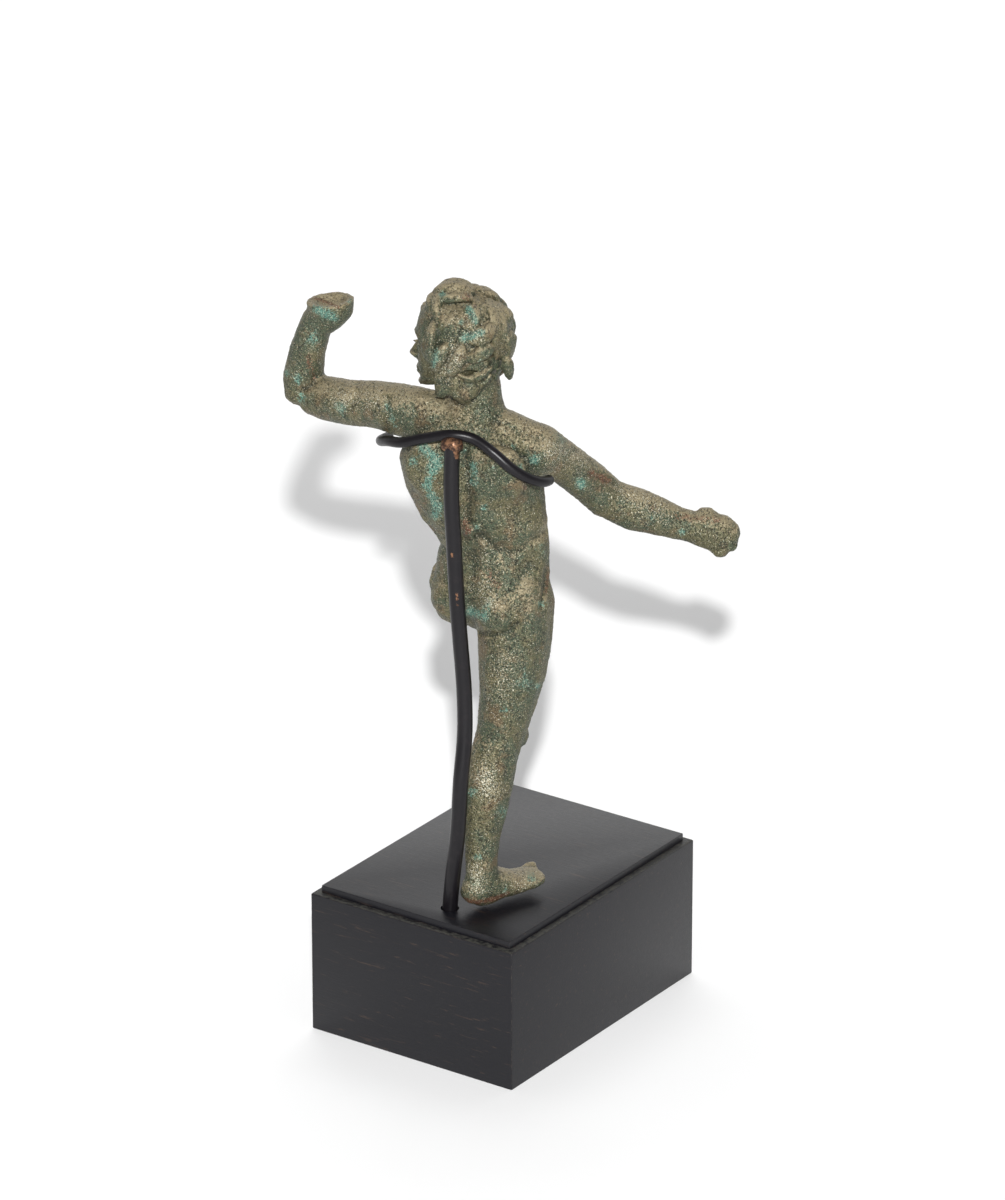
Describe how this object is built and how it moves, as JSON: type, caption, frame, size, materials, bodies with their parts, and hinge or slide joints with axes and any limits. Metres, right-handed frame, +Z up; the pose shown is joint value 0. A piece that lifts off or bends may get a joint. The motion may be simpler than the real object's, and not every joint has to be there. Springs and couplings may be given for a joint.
{
  "type": "bronze faun statuette",
  "caption": "Small cast bronze figure of a striding faun seen turning, one arm raised, with broken limbs, on a bent rod and yoke over a rebated black wood block.",
  "frame": {"origin": "centre of the block's underside", "axes": "+Z up; the figure's foot points to -Y, its right side is towards -X; the block's long side runs along Y"},
  "size_m": [0.076, 0.061, 0.15],
  "materials": {
    "bronze": "corroded bronze with olive, brown and turquoise patina",
    "black_steel": "satin black paint, worn to copper at the joint",
    "ebonised_wood": "satin black stained hardwood with faint grain"
  },
  "bodies": {
    "root": {"faun_figure": "bronze", "yoke_bar": "black_steel", "support_rod": "black_steel", "wood_block": "ebonised_wood"}
  },
  "joints": []
}
